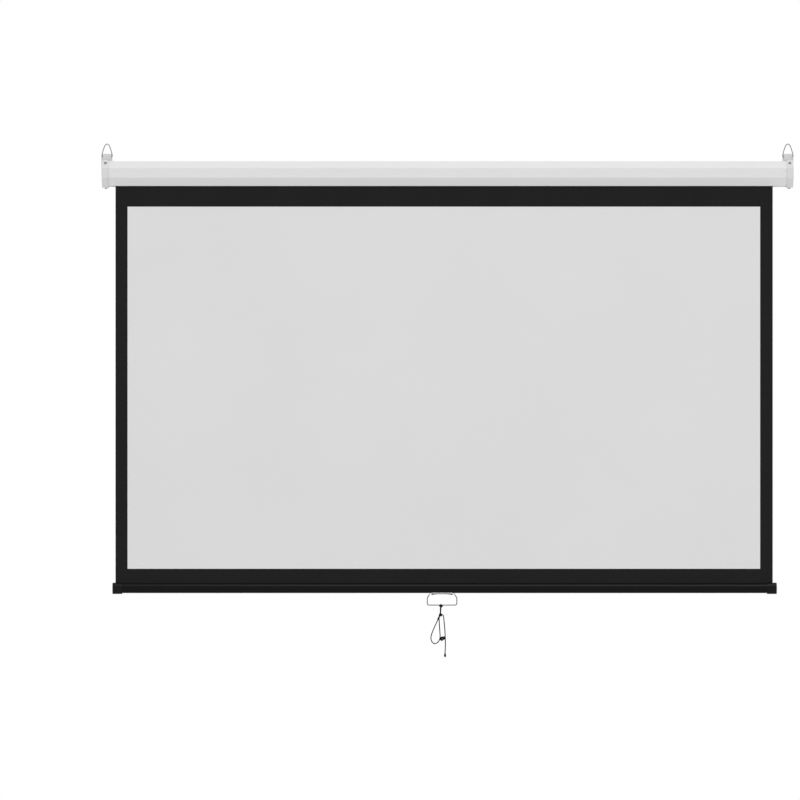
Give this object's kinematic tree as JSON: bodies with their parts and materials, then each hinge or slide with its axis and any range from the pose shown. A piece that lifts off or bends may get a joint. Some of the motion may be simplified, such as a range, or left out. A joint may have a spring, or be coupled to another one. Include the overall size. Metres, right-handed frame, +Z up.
{
  "type": "pull-down projector screen",
  "caption": "Manual pull-down projector screen: octagonal wall casing with spring roller, matt white sheet with black border, weight bar, wire handle and pull cord.",
  "frame": {"origin": "on the wall plane, midway between the two keyholes, at the height where their screws carry the casing (level with the end caps' tops)", "axes": "+X to the viewer's right along the casing, -Y out of the picture side towards the viewer, +Y into the wall, +Z up"},
  "size_m": [2.044, 0.071, 1.5126],
  "materials": {
    "white_coated_steel": "white powder coat, satin",
    "white_moulded_plastic": "white moulded plastic, satin",
    "polished_steel_wire": "bright drawn wire",
    "zinc_plated_steel": "zinc plated",
    "spring_steel": "oiled spring wire",
    "mill_aluminium": "drawn tube, mill finish",
    "natural_nylon": "moulded nylon",
    "screen_vinyl": "matt white coated cloth with black border and black back",
    "black_vinyl": "matt black coated cloth",
    "black_anodised_aluminium": "black anodised, satin",
    "black_moulded_plastic": "black moulded plastic",
    "black_coated_steel": "black coated steel",
    "black_cord": "braided cord"
  },
  "bodies": {
    "casing": {"casing_shell": "white_coated_steel", "end_cap_left": "white_moulded_plastic", "end_cap_right": "white_moulded_plastic", "cap_screw_top_left": "zinc_plated_steel", "cap_screw_top_right": "zinc_plated_steel", "cap_screw_bottom_left": "zinc_plated_steel", "cap_screw_bottom_right": "zinc_plated_steel", "idler_bush": "natural_nylon", "arbor_shaft": "zinc_plated_steel", "ratchet_wheel": "zinc_plated_steel", "torsion_spring": "spring_steel", "spring_collar": "natural_nylon", "screen_fabric": "screen_vinyl"},
    "roller": {"roller_tube": "mill_aluminium", "roller_plug_left": "natural_nylon", "roller_plug_right": "natural_nylon", "idler_pin": "zinc_plated_steel", "fabric_wrap": "black_vinyl"},
    "pawl": {"lock_pawl": "zinc_plated_steel"},
    "bar": {"weight_bar": "black_anodised_aluminium", "bar_cap_left": "black_moulded_plastic", "bar_cap_right": "black_moulded_plastic", "fabric_hem": "black_vinyl", "hem_rod": "zinc_plated_steel", "handle_bracket": "black_coated_steel", "bracket_rivet_left": "black_coated_steel", "bracket_rivet_right": "black_coated_steel"},
    "handle": {"pull_handle": "polished_steel_wire"},
    "cord": {"pull_cord": "black_cord", "cord_bead": "black_cord"},
    "loop_left": {"hanging_loop_left": "polished_steel_wire"},
    "loop_right": {"hanging_loop_right": "polished_steel_wire"}
  },
  "joints": [
    {"name": "screen_travel", "type": "slide", "parent": "casing", "child": "bar", "axis": [0, 0, 1], "range_m": [0, 1.163], "deforming": ["screen_fabric"]},
    {"name": "roller_spin", "type": "hinge", "parent": "casing", "child": "roller", "pos_m": [0, -0.03, -0.038], "axis": [-1, 0, 0], "range_deg": [0, 3960]},
    {"name": "pawl_drop", "type": "hinge", "parent": "roller", "child": "pawl", "pos_m": [0.97, -0.038, -0.0282], "axis": [-1, 0, 0], "range_deg": [0, 20]},
    {"name": "handle_swing", "type": "hinge", "parent": "bar", "child": "handle", "pos_m": [-0.0162, -0.05395, -1.2746], "axis": [-1, 0, 0], "range_deg": [-60, 85]},
    {"name": "cord_swing", "type": "hinge", "parent": "handle", "child": "cord", "pos_m": [-0.0162, -0.05395, -1.3094], "axis": [-1, 0, 0], "range_deg": [-75, 75]},
    {"name": "loop_left_swing", "type": "hinge", "parent": "casing", "child": "loop_left", "pos_m": [-1.004, -0.022, 0.011], "axis": [1, 0, 0], "range_deg": [-50, 95]},
    {"name": "loop_right_swing", "type": "hinge", "parent": "casing", "child": "loop_right", "pos_m": [1.004, -0.022, 0.011], "axis": [1, 0, 0], "range_deg": [-50, 95]}
  ],
  "couplings": [
    {"joint": "roller_spin", "follows": "screen_travel", "rad_per_m": 59.43}
  ]
}
